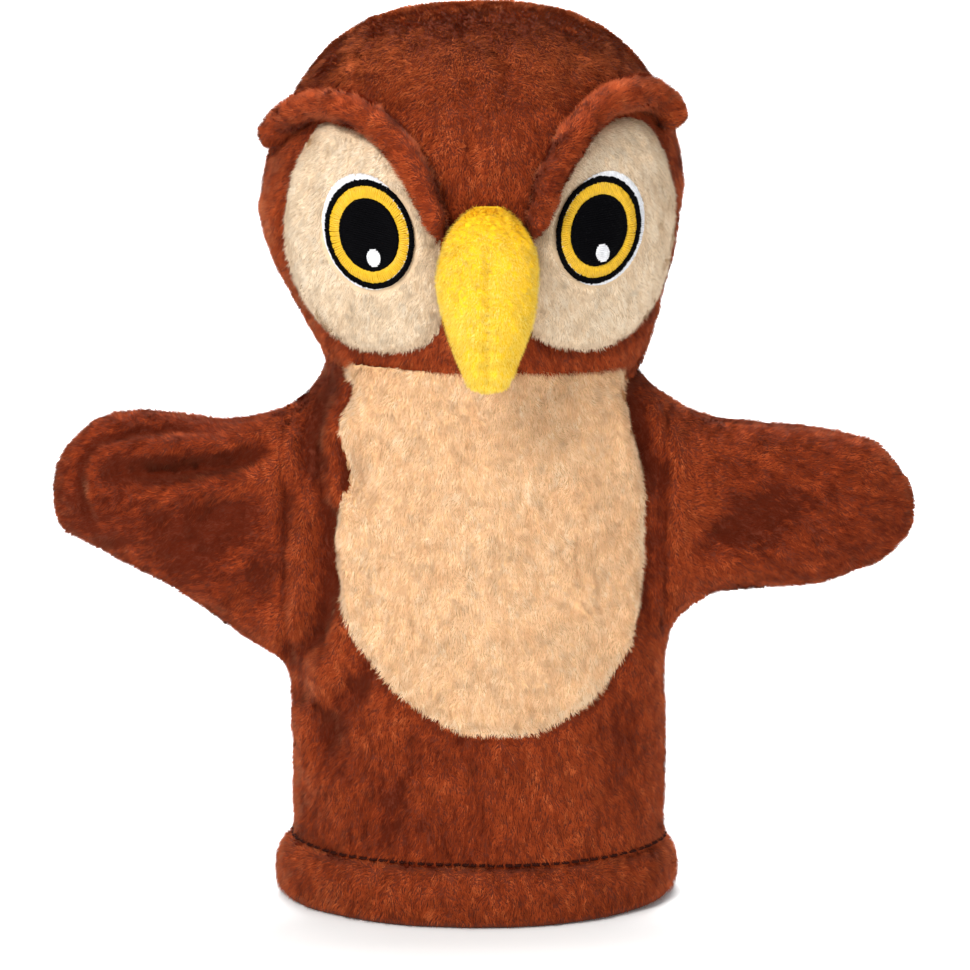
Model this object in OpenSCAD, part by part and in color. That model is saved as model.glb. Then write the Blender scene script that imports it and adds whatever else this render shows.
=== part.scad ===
// Plush owl glove puppet. Millimetres, +Z up, faces -Y. Left and right are the puppet's own.
// The hem stands on z = 0 and the hand goes in from below.

/* [Node] */
// Which piece to draw

/* [Glove] */
// Width of the glove's body
body_w = 103; // [80:1:140]
// Depth of the glove's body
body_d = 60; // [44:1:80]
// Width across the hem band
hem_w = 110; // [90:1:150]
// Depth across the hem band
hem_d = 78; // [60:1:100]
// Height of the folded hem
hem_h = 15.5; // [10:0.5:24]
// Height of the sewn body panels' top edge
body_h = 129; // [100:1:150]
// Thickness of the plush cloth
cloth = 3; // [2:0.1:4]

/* [Neck and head] */
// Width of the neck seam
neck_w = 86; // [70:1:100]
// Depth of the neck seam
neck_d = 62; // [46:1:74]
// Height of the gathered neck cloth
collar_h = 17.6; // [12:0.1:26]
// Width of the stuffed head
head_w = 114; // [96:1:140]
// Depth of the stuffed head
head_d = 90; // [76:1:108]
// Height of the head over the neck seam
head_h = 99.5; // [84:0.5:120]
// Inner radius of the finger sleeve
sleeve_r = 11; // [9:0.25:12.5]
// Length of the finger sleeve
sleeve_len = 78; // [60:1:86]

/* [Wings] */
// Span from wing tip to wing tip
span = 238; // [210:1:280]
// Thickness of a wing at its root
wing_d = 25; // [20:0.5:28]
// Height of a wing at its root
wing_h = 62; // [50:1:66]

/* [Face] */
// Width of an eye patch
patch_w = 40; // [32:1:42]
// Height of an eye patch
patch_h = 62; // [48:1:64]
// Width of an eye's outline
eye_w = 23.4; // [18:0.2:28]
// Height of an eye's outline
eye_h = 28.8; // [22:0.2:34]
// Width of the beak
beak_w = 26; // [20:0.5:31]
// Height of the beak
beak_h = 47; // [38:0.5:54]
// How far the beak stands out
beak_out = 19; // [14:0.5:24]
// Thickness of a brow roll
brow_d = 6.4; // [4:0.2:8]

/* [Hidden] */
seam = 0.3;                    // gap left between two pieces that are sewn together
body_x = -1.5; body_y = 8;     // middle of the glove
head_x = -2.5; head_y = 10;    // middle of the head
neck_z = body_h + collar_h;    // the neck seam
arm_x = body_w * 0.45;         // the armhole's plane, from the body's middle
arm_z = body_h - 25.5;         // middle of the armholes
arm_r = wing_h / 2;
patch_t = 2;                   // eye and belly patches
rise = patch_t + 2 * seam;     // the embroidery starts here, over the face
layer = 0.55;                  // one layer of embroidery
brown = [0.42, 0.2, 0.1]; beige = [0.85, 0.75, 0.6]; yellow = [0.93, 0.72, 0.12];

function lerp(a, b, t) = a + (b - a) * t;
// value of column c of the table t at q, t being sorted on its first column
function at(t, q, c, i = 0) =
  q <= t[0][0] ? t[0][c] :
  i >= len(t) - 1 ? t[len(t) - 1][c] :
  q <= t[i + 1][0] ? lerp(t[i][c], t[i + 1][c], (q - t[i][0]) / (t[i + 1][0] - t[i][0])) :
  at(t, q, c, i + 1);

// closed solids from a grid of outer points a and one of inner points b
function flat(g) = [for (r = g) for (p = r) p];
module shell(a, b, ring = false) {
  n = len(a); m = len(a[0]); k = n * m; w = ring ? m : m - 1;
  polyhedron(points = concat(flat(a), flat(b)), faces = concat(
    [for (i = [0:n - 2]) for (j = [0:w - 1]) let (e = (j + 1) % m, p = i * m + j, q = i * m + e)
      each [[p, p + m, q + m], [p, q + m, q], [k + p, k + q + m, k + p + m], [k + p, k + q, k + q + m]]],
    [for (j = [0:w - 1]) let (e = (j + 1) % m, z = (n - 1) * m)
      each [[j, e, k + e], [j, k + e, k + j],
            [z + e, z + j, k + z + j], [z + e, k + z + j, k + z + e]]],
    ring ? [] : [for (i = [0:n - 2]) let (p = i * m, q = p + m, s = p + m - 1, t = s + m)
      each [[q, p, k + p], [q, k + p, k + q], [s, t, k + t], [s, k + t, k + s]]]));
}
module loft(a) {
  n = len(a); m = len(a[0]); c0 = n * m; c1 = c0 + 1;
  polyhedron(points = concat(flat(a), [mid(a[0]), mid(a[n - 1])]), faces = concat(
    [for (i = [0:n - 2]) for (j = [0:m - 1]) let (e = (j + 1) % m, p = i * m + j, q = i * m + e)
      each [[p, p + m, q + m], [p, q + m, q]]],
    [for (j = [0:m - 1]) let (e = (j + 1) % m, z = (n - 1) * m) each [[j, e, c0], [z + e, z + j, c1]]]));
}
function mid(r, i = 0, s = [0, 0, 0]) = i == len(r) ? s / len(r) : mid(r, i + 1, s + r[i]);

// ---- glove body: z, half width, half depth
hem_in = hem_w / 2 - 3.5;      // the body's half width where the hem is sewn on
BODY = [[hem_h, hem_in, hem_d * 0.455], [hem_h + 2, hem_in, hem_d * 0.45125],
  [hem_h + 8, body_w * 0.5, hem_d * 0.44],
  [body_h * 0.36, body_w * 0.5, body_d * 0.53], [body_h * 0.55, body_w * 0.5, body_d * 0.53],
  [body_h * 0.8, body_w * 0.5, body_d * 0.5], [body_h, body_w * 0.5, body_d * 0.48],
  [lerp(body_h, neck_z, 0.45), body_w * 0.495, lerp(body_d * 0.48, neck_d / 2, 0.5)],
  [neck_z, neck_w / 2, neck_d / 2]];
function ring_pt(z, a, d) = [body_x + (at(BODY, z, 1) + d) * sin(a),
  body_y - (at(BODY, z, 2) + d) * cos(a), z];
// how much of the armhole's cut there is at z: 0 none, 1 all
function cut(z) = let (d = abs(z - arm_z) - arm_r) d <= 0.6 ? 1 : d >= 2.2 ? 0 : (2.2 - d) / 1.6;
function half_angle(z, d) = let (r = at(BODY, z, 1) + d)
  lerp(90 - asin(seam / 2 / (at(BODY, z, 2) + d)), asin(min(arm_x / r, 1)), cut(z));
function body_grid(zs, mid_a, cols, d) = [for (z = zs) [for (j = [0:cols])
  ring_pt(z, mid_a + half_angle(z, d) * (2 * j / cols - 1), d)]];
body_zs = concat([hem_h + seam, hem_h + 2, hem_h + 8, 36, 50],
  [for (k = [2.2, 0.6]) arm_z - arm_r - k], [for (k = [1:4]) arm_z - arm_r + k * 11], [body_h]);
collar_zs = [body_h + seam, arm_z + arm_r + 0.6, arm_z + arm_r + 2.2, neck_z - 5, neck_z];

module body_front() { color(brown) shell(body_grid(body_zs, 0, 16, 0), body_grid(body_zs, 0, 16, -cloth)); }
module body_back() { color(brown)
  shell(body_grid(body_zs, 180, 16, 0), body_grid(body_zs, 180, 16, -cloth)); }
module collar_front() { color(brown)
  shell(body_grid(collar_zs, 0, 16, 0), body_grid(collar_zs, 0, 16, -cloth)); }
module collar_back() { color(brown)
  shell(body_grid(collar_zs, 180, 16, 0), body_grid(collar_zs, 180, 16, -cloth)); }

// ---- belly patch: share of the height, then its edges as shares of the body's half width
BELLY = [[0, -0.12, 0.29], [0.04, -0.3, 0.44], [0.09, -0.42, 0.58], [0.22, -0.62, 0.78],
  [0.38, -0.73, 0.85], [0.5, -0.77, 0.86], [0.62, -0.75, 0.87], [0.74, -0.68, 0.87],
  [0.86, -0.71, 0.82], [1, -0.68, 0.7]];
belly_z = body_h * 0.39;
function belly_grid(t0, t1, rows, d) = [for (i = [0:rows]) let (t = lerp(t0, t1, i / rows),
    z = lerp(belly_z, neck_z - seam, t), r = at(BODY, z, 1)) [for (j = [0:14])
    let (a = asin(lerp(at(BELLY, t, 1), at(BELLY, t, 2), j / 14))) ring_pt(z, a, d)]];
belly_top = (body_h - belly_z) / (neck_z - seam - belly_z);
module belly_patch() { color(beige) shell(belly_grid(0, belly_top, 12, seam + patch_t),
  belly_grid(0, belly_top, 12, seam)); }
module throat_patch() { color(beige) shell(belly_grid(belly_top + 0.005, 1, 4, seam + patch_t),
  belly_grid(belly_top + 0.005, 1, 4, seam)); }

// ---- hem band and its line of stitching
HEM = [[0, -1.6, 5.2], [2, -0.5, 6], [hem_h * 0.5, 0, 6.6], [hem_h * 0.85, -1, 6],
  [hem_h - seam, -2.4, 5]];
function hem_pt(z, a, d) = [body_x + (hem_w / 2 + d) * sin(a), body_y - (hem_d / 2 + d) * cos(a), z];
module hem_band() { color(brown) shell(
  [for (h = HEM) [for (j = [0:39]) hem_pt(h[0], j * 9, h[1])]],
  [for (h = HEM) [for (j = [0:39]) hem_pt(h[0], j * 9, h[1] - h[2])]], ring = true); }
module hem_thread() { color([0.24, 0.1, 0.06]) shell(
  [for (z = [0.25, 1]) [for (j = [0:39]) hem_pt(hem_h + z, j * 9, -1.8)]],
  [for (z = [0.25, 1]) [for (j = [0:39]) hem_pt(hem_h + z, j * 9, -2.8)]], ring = true); }

// ---- finger sleeve, an exact tube that ends in the head
sleeve_z = neck_z - 26;
module finger_sleeve() { color(brown) translate([head_x, head_y, sleeve_z]) difference() {
  cylinder(h = sleeve_len, r = sleeve_r + 2, $fn = 64);
  translate([0, 0, -1]) cylinder(h = sleeve_len - 1, r = sleeve_r, $fn = 64); } }

// ---- head: share of the height, then half width and half depth as shares of the widest
HEAD = [[0, 0.755, 0.69], [0.03, 0.765, 0.72], [0.08, 0.79, 0.79], [0.13, 0.835, 0.85], [0.19, 0.885, 0.9],
  [0.25, 0.93, 0.94], [0.31, 0.97, 0.97], [0.37, 0.99, 0.99], [0.46, 1, 1], [0.54, 0.995, 0.995],
  [0.62, 0.965, 0.97], [0.7, 0.92, 0.925], [0.76, 0.865, 0.875], [0.82, 0.79, 0.8], [0.87, 0.705, 0.72],
  [0.92, 0.58, 0.6], [0.96, 0.43, 0.45], [0.985, 0.27, 0.28], [1, 0.02, 0.02]];
head_z = neck_z + seam;
function hrx(z) = at(HEAD, (z - head_z) / head_h, 1) * head_w / 2;
function hry(z) = at(HEAD, (z - head_z) / head_h, 2) * head_d / 2;
function head_pt(t, a, d) = let (z = head_z + t * head_h, m = head_z + 0.46 * head_h,
    w = t <= 0.46 ? z : m + (z - m) * (1 + d / (0.54 * head_h)))
  [head_x + max(at(HEAD, t, 1) * head_w / 2 + d, 0.3) * sin(a),
   head_y - max(at(HEAD, t, 2) * head_d / 2 + d, 0.3) * cos(a), w];
function head_grid(a0, a1, cols, d) = [for (h = HEAD) [for (j = [0:cols])
  head_pt(h[0], lerp(a0, a1, j / cols), d)]];
module head_panel(k) { color(brown) shell(head_grid(k * 90 + 0.3, k * 90 + 89.7, 7, 0),
  head_grid(k * 90 + 0.3, k * 90 + 89.7, 7, -cloth)); }
module left_face() { head_panel(0); }
module left_head_back() { head_panel(1); }
module right_head_back() { head_panel(2); }
module right_face() { head_panel(3); }
module head_stuffing() { color([0.93, 0.92, 0.88]) difference() {
  loft([for (h = HEAD) if (h[0] > 0.02 && h[0] < 0.99)
    [for (j = [0:23]) head_pt(h[0], j * 15, -cloth - seam)]]);
  translate([head_x, head_y, head_z - 1])
    cylinder(h = sleeve_z + sleeve_len - head_z + 2, r = sleeve_r + 2 + seam, $fn = 64); } }

// ---- a point over the face, d out from the head, and discs and rolls laid on it
function face_pt(x, z, d) = let (q = (x - head_x) / (hrx(z) + d))
  [x, head_y - (hry(z) + d) * sqrt(max(1 - q * q, 0.0004)), z];
module disc(x, z, w, h, lean, d0, d1, blunt = 2, rows = 4, cols = 24) {
  function p(r, a, d) = let (c = cos(a), s = sin(a), k = r / pow(pow(abs(c), blunt) + pow(abs(s), blunt), 1 / blunt),
    u = k * c * w / 2, v = k * s * h / 2) face_pt(x + u * cos(lean) - v * sin(lean),
    z + u * sin(lean) + v * cos(lean), d);
  n = cols; m = rows;
  top = [for (i = [1:m]) [for (j = [0:n - 1]) p(i / m, j * 360 / n, d1)]];
  low = [for (i = [1:m]) [for (j = [0:n - 1]) p(i / m, j * 360 / n, d0)]];
  k = n * m;
  polyhedron(points = concat(flat(top), flat(low), [p(0, 0, d1), p(0, 0, d0)]), faces = concat(
    [for (i = [0:m - 2]) for (j = [0:n - 1]) let (e = (j + 1) % n, a = i * n + j, b = i * n + e)
      each [[a, b, b + n], [a, b + n, a + n], [k + a, k + b + n, k + b], [k + a, k + a + n, k + b + n]]],
    [for (j = [0:n - 1]) let (e = (j + 1) % n, z = (m - 1) * n)
      each [[2 * k, e, j], [2 * k + 1, k + j, k + e],
            [z + j, z + e, k + z + e], [z + j, k + z + e, k + z + j]]]));
}
// x and z of the middle of each eye patch and eye, and the eyes' leans; side is -1 for the right
patch_z = head_z + head_h * 0.402;
function patch_x(side) = head_x + side * head_w * 0.268;
function eye_x(side) = side * head_w * 0.262;
eye_z = head_z + head_h * 0.41;
module eye(side, w, h, k, dx = 0, dz = 0) {
  disc(eye_x(side) + dx, eye_z + dz, w, h, -side * 9, rise + k * (layer + 0.1), rise + k * (layer + 0.1) + layer,
    rows = 3, cols = 20); }
module right_eye_patch() { color(beige) disc(patch_x(-1), patch_z, patch_w, patch_h, 4, seam, seam + patch_t, 2.5, 5); }
module left_eye_patch() { color(beige) disc(patch_x(1), patch_z, patch_w, patch_h, -4, seam, seam + patch_t, 2.5, 5); }
module right_eye_white() { color("white") eye(-1, eye_w * 1.06, eye_h * 1.02, 0, -0.6, 0.6); }
module left_eye_white() { color("white") eye(1, eye_w * 1.06, eye_h * 1.02, 0, 0.8, 0.4); }
module right_eye_outline() { color([0.03, 0.03, 0.03]) eye(-1, eye_w, eye_h, 1); }
module left_eye_outline() { color([0.03, 0.03, 0.03]) eye(1, eye_w, eye_h, 1); }
module right_iris() { color(yellow) eye(-1, eye_w * 0.88, eye_h * 0.9, 2); }
module left_iris() { color(yellow) eye(1, eye_w * 0.88, eye_h * 0.9, 2); }
module right_pupil() { color([0.02, 0.02, 0.02]) eye(-1, eye_w * 0.64, eye_h * 0.6, 3, 0.8); }
module left_pupil() { color([0.02, 0.02, 0.02]) eye(1, eye_w * 0.64, eye_h * 0.6, 3, -0.8, 0.5); }
module right_glint() { color("white") eye(-1, eye_w * 0.16, eye_h * 0.17, 4, 0.9, -eye_h * 0.21); }
module left_glint() { color("white") eye(1, eye_w * 0.16, eye_h * 0.17, 4, 0.8, -eye_h * 0.19); }

// ---- brows: x and z as shares of the head from its middle and its base, then the thickness
BROW_R = [[-0.2, 0.6, 0.8], [-0.245, 0.66, 1], [-0.335, 0.715, 1.1], [-0.45, 0.75, 1.15], [-0.56, 0.765, 1.1],
  [-0.7, 0.76, 1], [-0.87, 0.7, 1], [-0.985, 0.62, 0.95], [-1.03, 0.56, 0.6]];
BROW_L = [[0.28, 0.6, 0.8], [0.33, 0.66, 1], [0.42, 0.72, 1.1], [0.53, 0.76, 1.15], [0.66, 0.775, 1.15],
  [0.8, 0.755, 1.1], [0.91, 0.71, 1.1], [0.985, 0.66, 1], [1.02, 0.61, 0.6]];
function brow_mid(b, i) = let (x = head_x + b[i][0] * head_w / 2, z = head_z + b[i][1] * head_h,
    d = rise + brow_d * 0.55, r = hrx(z) + d, q = min(abs(x - head_x) / r, 0.985))
  [head_x + sign(b[i][0]) * q * r, head_y - (hry(z) + d) * sqrt(1 - q * q), z];
function brow_grid(b, side) = [for (i = [0:len(b) - 1]) let (p = brow_mid(b, i),
    t0 = brow_mid(b, min(i + 1, len(b) - 1)) - brow_mid(b, max(i - 1, 0)), t = t0 / norm(t0),
    o0 = [p[0] - head_x, p[1] - head_y, 0.3 * (p[2] - head_z)], o1 = o0 - t * (o0 * t), o = o1 / norm(o1),
    s = cross(t, o), r = brow_d / 2 * b[i][2])
  [for (j = [0:13]) let (a = -j * 360 / 14) p + o * r * cos(a) + s * r * sin(a)]];
module right_brow() { color(brown) loft(brow_grid(BROW_R, -1)); }
module left_brow() { color(brown) loft(brow_grid(BROW_L, 1)); }

// ---- beak: share of the height down from its top, half width, back and front as shares
BEAK = [[0, 0.36, 0, 0.14], [0.08, 0.68, 0, 0.45], [0.22, 0.89, 0, 0.72], [0.38, 1, 0, 0.9],
  [0.54, 0.94, 0.02, 1], [0.7, 0.79, 0.08, 1], [0.85, 0.6, 0.26, 0.95], [0.96, 0.44, 0.45, 0.84],
  [1, 0.24, 0.58, 0.72]];
beak_x = 1; beak_top = head_z + head_h * 0.485;
beak_y = head_y - head_d / 2 - 0.2;
function beak_pt(b, a, d) = let (z = beak_top - b[0] * beak_h, f = min(1, max(0.2, (beak_h * 0.5 + d * 1.2) / (beak_h * 0.5))))
  [beak_x + max(b[1] * beak_w / 2 + d, 0.5) * sin(a),
   beak_y - (b[2] + b[3]) / 2 * beak_out - max((b[3] - b[2]) / 2 * beak_out + d, 0.4) * cos(a),
   beak_top - beak_h / 2 + (z - beak_top + beak_h / 2) * f];
beak_n = len(BEAK) - 1;
function beak_grid(a0, a1, cols, d) = [for (i = [beak_n:-1:0]) [for (j = [0:cols])
  beak_pt(BEAK[i], lerp(a0, a1, j / cols), d)]];
module beak_left() { color(yellow) shell(beak_grid(1.4, 178.6, 10, 0), beak_grid(1.4, 178.6, 10, -1.4)); }
module beak_right() { color(yellow) shell(beak_grid(181.4, 358.6, 10, 0), beak_grid(181.4, 358.6, 10, -1.4)); }
module beak_stuffing() { color([0.93, 0.92, 0.88]) loft([for (i = [beak_n - 1:-1:1]) [for (j = [0:19])
  beak_pt(BEAK[i], j * 18, -1.4 - seam)]]); }
module beak_seam() { color([0.8, 0.6, 0.08]) loft([for (i = [beak_n - 1:-1:1]) let (b = BEAK[i])
  [for (j = [0:7]) let (p = beak_pt(b, 0, 0.75)) p + [0.45 * sin(j * 45), -0.45 * cos(j * 45), 0]]]); }

// ---- wings: share of the way from root to tip, middle's height from the armhole's, half height, half depth
WING_R = [[0, 0, 0.94, 1], [0.14, 0.05, 0.86, 1], [0.3, 0.29, 0.8, 0.96], [0.46, 0.5, 0.72, 0.92],
  [0.6, 0.62, 0.65, 0.86], [0.74, 0.68, 0.58, 0.8], [0.85, 0.68, 0.5, 0.72], [0.94, 0.64, 0.36, 0.56],
  [0.985, 0.6, 0.2, 0.36], [1, 0.58, 0.08, 0.14]];
WING_L = [[0, 0.06, 0.86, 1], [0.14, 0.12, 0.78, 1], [0.3, 0.15, 0.73, 0.96], [0.46, 0.16, 0.7, 0.92],
  [0.6, 0.17, 0.65, 0.86], [0.74, 0.19, 0.56, 0.8], [0.85, 0.2, 0.46, 0.72], [0.94, 0.19, 0.32, 0.56],
  [0.985, 0.18, 0.18, 0.36], [1, 0.18, 0.07, 0.14]];
wing_x0 = 70;                  // the sewn wing panels start here
tip_x = span / 2;
function wing_pt(side, w, a, d) = let (s = lerp(wing_x0, tip_x + d * 1.1, w[0]))
  [side * s, body_y - max(w[3] * wing_d / 2 + d, 0.5) * sin(a),
   arm_z + w[1] * 15 + side * max(w[2] * arm_r + d, 0.6) * cos(a)];
function wing_grid(side, t, a0, a1, d) = [for (w = t) [for (j = [0:12])
  wing_pt(side, w, lerp(a0, a1, j / 12), d)]];
module wing_panel(side, t, a0) { color(brown) shell(wing_grid(side, t, a0 + 0.7, a0 + 179.3, 0),
  wing_grid(side, t, a0 + 0.7, a0 + 179.3, -cloth)); }
module right_wing_front() { wing_panel(-1, WING_R, 0); }
module right_wing_back() { wing_panel(-1, WING_R, 180); }
module left_wing_front() { wing_panel(1, WING_L, 0); }
module left_wing_back() { wing_panel(1, WING_L, 180); }
// the soft root between the armhole and a wing: an open tube that bends with the shoulder
module wing_root(side, t) {
  x0 = arm_x + seam + side * body_x; x1 = wing_x0 - seam;
  function p(k, a, d) = let (w = t[0], f = min(k * 1.4, 1))
    [side * lerp(x0, x1, k), body_y - (lerp(at(BODY, arm_z, 2) * cos(asin(arm_x / at(BODY, arm_z, 1))),
       wing_d / 2, k) + d) * sin(a),
     arm_z + w[1] * 15 * f + side * (lerp(arm_r, w[2] * arm_r, f) + d) * cos(a)];
  color(brown) shell([for (k = [0:0.25:1]) [for (j = [0:23]) p(k, j * 15, 0)]],
    [for (k = [0:0.25:1]) [for (j = [0:23]) p(k, j * 15, -cloth)]], ring = true);
}
module right_wing_root() { wing_root(-1, WING_R); }
module left_wing_root() { wing_root(1, WING_L); }

body_front();
body_back();
belly_patch();
throat_patch();
hem_band();
hem_thread();
collar_front();
collar_back();
finger_sleeve();
right_face();
left_face();
right_head_back();
left_head_back();
head_stuffing();
right_eye_patch();
left_eye_patch();
right_eye_white();
left_eye_white();
right_eye_outline();
left_eye_outline();
right_iris();
left_iris();
right_pupil();
left_pupil();
right_glint();
left_glint();
right_brow();
left_brow();
beak_right();
beak_left();
beak_stuffing();
beak_seam();
right_wing_root();
left_wing_root();
right_wing_front();
right_wing_back();
left_wing_front();
left_wing_back();
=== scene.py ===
import math
import bpy
import numpy as np
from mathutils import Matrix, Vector


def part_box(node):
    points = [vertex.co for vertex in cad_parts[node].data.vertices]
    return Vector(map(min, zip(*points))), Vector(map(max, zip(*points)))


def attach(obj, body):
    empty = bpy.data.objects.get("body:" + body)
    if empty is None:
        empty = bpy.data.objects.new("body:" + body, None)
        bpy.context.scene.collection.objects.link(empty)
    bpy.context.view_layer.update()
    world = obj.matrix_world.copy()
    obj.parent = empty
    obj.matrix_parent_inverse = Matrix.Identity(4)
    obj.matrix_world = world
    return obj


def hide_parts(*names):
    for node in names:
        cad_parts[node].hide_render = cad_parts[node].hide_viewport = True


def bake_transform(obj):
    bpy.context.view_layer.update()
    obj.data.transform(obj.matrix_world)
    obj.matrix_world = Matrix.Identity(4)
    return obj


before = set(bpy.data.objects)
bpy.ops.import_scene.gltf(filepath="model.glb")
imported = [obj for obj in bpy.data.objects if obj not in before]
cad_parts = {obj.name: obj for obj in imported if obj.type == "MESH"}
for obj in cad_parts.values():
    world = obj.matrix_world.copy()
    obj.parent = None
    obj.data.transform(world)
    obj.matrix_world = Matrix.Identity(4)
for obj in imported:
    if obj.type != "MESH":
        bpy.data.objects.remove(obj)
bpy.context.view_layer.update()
MM = 0.001
RNG = np.random.default_rng(7)
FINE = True

# -------------------- sizes, in mm, from the frame
def mm_box(node):
    """A CAD node's lowest and highest corners in mm."""
    a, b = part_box(node)
    return np.array(a) * 1000, np.array(b) * 1000

# B is the glove's body and H the head: X and Y are a middle, Z is where it starts, RX is half its width.
BF = mm_box("body_front")
HEADS = [mm_box(n) for n in ("right_face", "left_face", "right_head_back", "left_head_back")]
HLO = np.min([h[0] for h in HEADS], 0)
HHI = np.max([h[1] for h in HEADS], 0)
BX, BY = (BF[0][0] + BF[1][0]) / 2, BF[1][1]
HX, HY = (HLO[0] + HHI[0]) / 2, (HLO[1] + HHI[1]) / 2
HRX = (HHI[0] - HLO[0]) / 2
HZ, HH = HLO[2], HHI[2] - HLO[2]
BODY_TOP = BF[1][2]
# The tables below are drawn for a glove whose body panels end DRAWN_TOP up; stood() lengthens it.
DRAWN_TOP, STRETCH_FROM, STRETCH_TO = 126, 14, 46
LONG = BODY_TOP - DRAWN_TOP
HZ, BODY_TOP = HZ - LONG, DRAWN_TOP

def stood(v):
    """Drawn points where they stand on the real body's length."""
    v = np.array(v, float)
    v[..., 2] += LONG * smooth(v[..., 2], STRETCH_FROM, STRETCH_TO)
    return v

# -------------------- numbers
LATTICE = 32  # cells along a side, after which noise repeats
def lattice(seed):
    return np.random.default_rng(seed).random((LATTICE,) * 3).astype(np.float32) * 2 - 1

LATS = {}
def noise(p, size, seed=0):
    """Smooth noise from -1 to 1 at points p (mm), with lumps about size mm wide."""
    if seed not in LATS:
        LATS[seed] = lattice(seed)
    g, q = LATS[seed], np.asarray(p, float) / size + 100.3
    i = np.floor(q).astype(int)
    f = q - i
    f = f * f * (3 - 2 * f)
    out = 0
    for dx in (0, 1):
        wx = f[..., 0] if dx else 1 - f[..., 0]
        for dy in (0, 1):
            wy = f[..., 1] if dy else 1 - f[..., 1]
            for dz in (0, 1):
                wz = f[..., 2] if dz else 1 - f[..., 2]
                cell = tuple((i[..., k] + d) % LATTICE for k, d in enumerate((dx, dy, dz)))
                out = out + wx * wy * wz * g[cell]
    return out

def smooth(x, a, b):
    """0 below a, 1 above b, and a soft step between."""
    t = np.clip((np.asarray(x, float) - a) / (b - a), 0, 1)
    return t * t * (3 - 2 * t)

def circle(n):
    """n angles evenly round a circle."""
    return np.linspace(0, 2 * math.pi, n, endpoint=False)

def table(t, q, c):
    """Column c of table t at q by a smooth curve through its rows."""
    t = np.array(t, float)
    x, y = t[:, 0], t[:, c]
    if x[0] > x[-1]:
        x, y = x[::-1], y[::-1]
    m = np.gradient(y, x)
    q = np.clip(q, x[0], x[-1])
    i = np.clip(np.searchsorted(x, q) - 1, 0, len(x) - 2)
    h = x[i + 1] - x[i]
    s = (q - x[i]) / h
    return ((2 * s**3 - 3 * s**2 + 1) * y[i] + (s**3 - 2 * s**2 + s) * h * m[i]
            + (-2 * s**3 + 3 * s**2) * y[i + 1] + (s**3 - s**2) * h * m[i + 1])

def line_dist(p2, line):
    """Distance from points p2 (n, 2) to a line through points, and the share of the way along it."""
    line = np.array(line, float)
    best, along = np.full(len(p2), 1e9), np.zeros(len(p2))
    for k in range(len(line) - 1):
        a, d = line[k], line[k + 1] - line[k]
        t = np.clip(((p2 - a) @ d) / (d @ d), 0, 1)
        r = np.linalg.norm(p2 - a - t[:, None] * d, axis=1)
        near = r < best
        best[near], along[near] = r[near], (k + t[near]) / (len(line) - 1)
    return best, along

def inside(p2, poly):
    """Signed distance from points to a closed outline: negative inside."""
    poly = np.array(poly, float)
    d, _ = line_dist(p2, np.vstack([poly, poly[:1]]))
    x, y = p2[:, 0], p2[:, 1]
    odd = np.zeros(len(p2), bool)
    for a, b in zip(poly, np.roll(poly, -1, 0)):
        cross = (a[1] > y) != (b[1] > y)
        with np.errstate(divide="ignore", invalid="ignore"):
            odd ^= cross & (x < (b[0] - a[0]) * (y - a[1]) / (b[1] - a[1]) + a[0])
    return np.where(odd, -d, d)

def rounded(points, n=8):
    """A closed outline curved smoothly through points."""
    p = np.array(points, float)
    out = []
    for i in range(len(p)):
        a, b, c, d = p[i - 1], p[i], p[(i + 1) % len(p)], p[(i + 2) % len(p)]
        for k in range(n):
            t = k / n
            out.append(0.5 * ((2 * b) + (c - a) * t + (2 * a - 5 * b + 4 * c - d) * t**2
                              + (3 * b - a - 3 * c + d) * t**3))
    return np.array(out)

# -------------------- meshes as arrays
def normals(v, f):
    """Point normals of a mesh of quads or triangles."""
    n = np.cross(v[f[:, 2]] - v[f[:, 0]], v[f[:, -1]] - v[f[:, 1]])
    if f.shape[1] == 3:
        n = np.cross(v[f[:, 1]] - v[f[:, 0]], v[f[:, 2]] - v[f[:, 0]])
    out = np.zeros_like(v)
    for c in range(3):
        for k in range(f.shape[1]):
            out[:, c] += np.bincount(f[:, k], n[:, c], len(v))
    return out / np.maximum(np.linalg.norm(out, axis=1, keepdims=True), 1e-12)

def outward(v, f, n, centre):
    """Faces and normals turned to point away from centre."""
    return (f[:, ::-1], -n) if ((v - centre) * n).sum() < 0 else (f, n)

def relax(v, f, times, amount):
    """Smooths a mesh; amount is a number or one for each point."""
    e = np.vstack([f[:, [k, (k + 1) % f.shape[1]]] for k in range(f.shape[1])])
    e = np.unique(np.sort(e, 1), axis=0)
    deg = np.bincount(e.ravel(), minlength=len(v))[:, None]
    w = np.broadcast_to(np.asarray(amount, float).reshape(-1, 1), (len(v), 1))
    for _ in range(times):
        s = np.zeros_like(v)
        for c in range(3):
            s[:, c] = (np.bincount(e[:, 0], v[e[:, 1], c], len(v))
                       + np.bincount(e[:, 1], v[e[:, 0], c], len(v)))
        v = v + w * (s / np.maximum(deg, 1) - v)
    return v

def sheet_of(p, ring=False):
    """Points and quads of a grid (rows, columns, 3); ring closes the columns."""
    n, m = p.shape[:2]
    i, j = np.meshgrid(np.arange(n - 1), np.arange(m if ring else m - 1), indexing="ij")
    e = (j + 1) % m
    f = np.stack([i * m + j, i * m + e, (i + 1) * m + e, (i + 1) * m + j], -1).reshape(-1, 4)
    return p.reshape(-1, 3), f

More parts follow.
